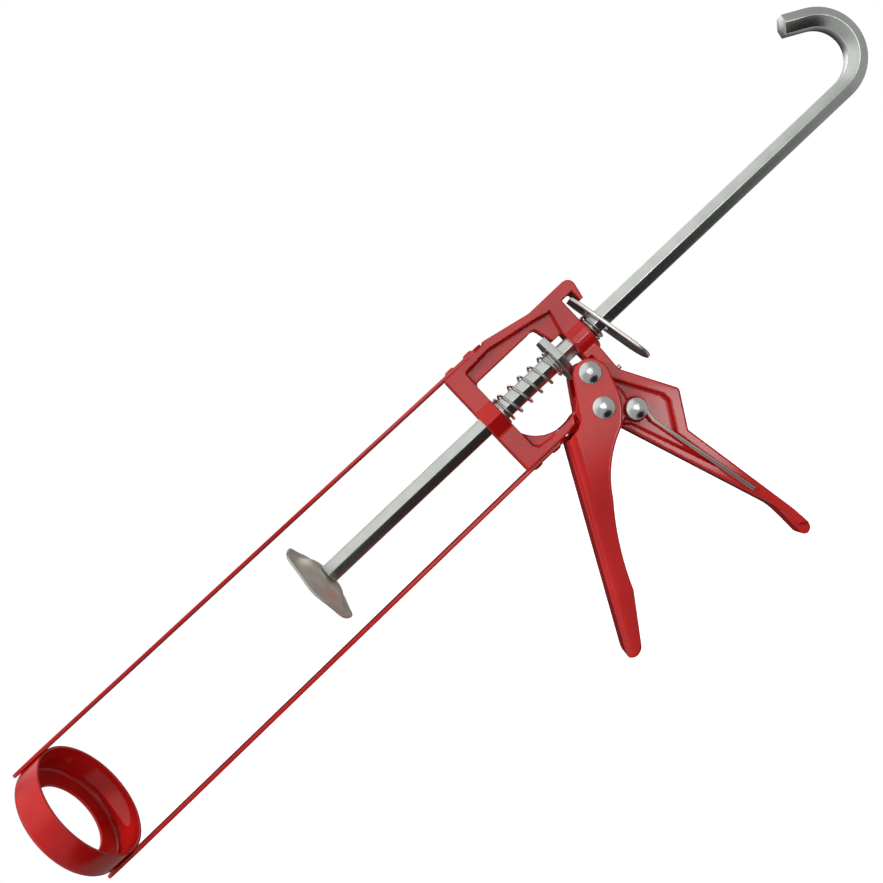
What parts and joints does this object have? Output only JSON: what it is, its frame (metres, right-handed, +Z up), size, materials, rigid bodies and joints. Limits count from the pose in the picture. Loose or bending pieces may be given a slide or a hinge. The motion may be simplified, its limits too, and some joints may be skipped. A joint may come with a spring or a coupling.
{
  "type": "caulking gun",
  "caption": "Skeleton caulking gun: open cartridge frame with a front ring, hexagonal push rod with a hook, plunger, trigger and thumb release.",
  "frame": {"origin": "centre of the nozzle hole in the front ring's outer face, on the push rod's axis", "axes": "+X along the push rod from the nozzle end to the hook, +Z up away from the grip, Y across the frame"},
  "size_m": [0.4501, 0.054, 0.1559],
  "materials": {
    "red_paint": "gloss enamel",
    "red_casting": "gloss enamel over an aluminium casting",
    "plated_steel": "bright zinc plate",
    "plated_rod": "bright zinc plate, drawn bar",
    "plunger_steel": "dull pressed steel",
    "spring_steel": "plated spring wire",
    "rivet_steel": "bright domed rivet",
    "piercer_wire": "plain steel wire"
  },
  "bodies": {
    "frame": {"front_ring": "red_paint", "upper_rail": "red_paint", "lower_rail": "red_paint", "upper_rail_studs": "red_paint", "lower_rail_studs": "red_paint", "frame_casting": "red_casting", "frame_pin": "plated_steel", "spring_washer": "plated_steel", "drive_spring": "spring_steel", "release_spring": "spring_steel", "trigger_pivot_rivet": "rivet_steel", "pivot_bush": "plated_steel", "piercer_rivet": "rivet_steel", "piercer_washer": "plated_steel"},
    "rod": {"push_rod": "plated_rod", "plunger_washer": "plated_steel"},
    "plunger": {"plunger_plate": "plunger_steel"},
    "drive_plate": {"drive_plate": "plated_steel"},
    "release_plate": {"release_plate": "plated_steel"},
    "trigger": {"trigger": "red_paint", "drive_pin_rivet": "rivet_steel"},
    "roller": {"drive_roller": "plated_steel"},
    "piercer": {"seal_piercer": "piercer_wire"}
  },
  "joints": [
    {"name": "rod_slide", "type": "slide", "parent": "frame", "child": "rod", "axis": [1, 0, 0], "range_m": [-0.128, 0.086]},
    {"name": "plunger_spin", "type": "hinge", "parent": "rod", "child": "plunger", "pos_m": [0.1437, 0, 0], "axis": [1, 0, 0], "continuous": true},
    {"name": "trigger_squeeze", "type": "hinge", "parent": "frame", "child": "trigger", "pos_m": [0.2707, 0, -0.0258], "axis": [0, -1, 0], "range_deg": [0, 24], "stiffness_Nm_per_rad": 1.2, "springref_deg": -17.19, "deforming": ["drive_spring"]},
    {"name": "roller_spin", "type": "hinge", "parent": "trigger", "child": "roller", "pos_m": [0.2762, 0, -0.0123], "axis": [0, 1, 0], "continuous": true},
    {"name": "drive_slide", "type": "slide", "parent": "frame", "child": "drive_plate", "axis": [1, 0, 0], "range_m": [-0.008, 0]},
    {"name": "release_tilt", "type": "hinge", "parent": "frame", "child": "release_plate", "pos_m": [0.2915, 0, 0.014], "axis": [0, 1, 0], "range_deg": [0, 11], "stiffness_Nm_per_rad": 0.15, "springref_deg": -11.46, "deforming": ["release_spring"]},
    {"name": "piercer_swing", "type": "hinge", "parent": "frame", "child": "piercer", "pos_m": [0.28, 0, -0.0351], "axis": [0, -1, 0], "range_deg": [0, 105]}
  ],
  "couplings": [
    {"joint": "drive_slide", "follows": "trigger_squeeze", "m_per_rad": -0.0151}
  ]
}
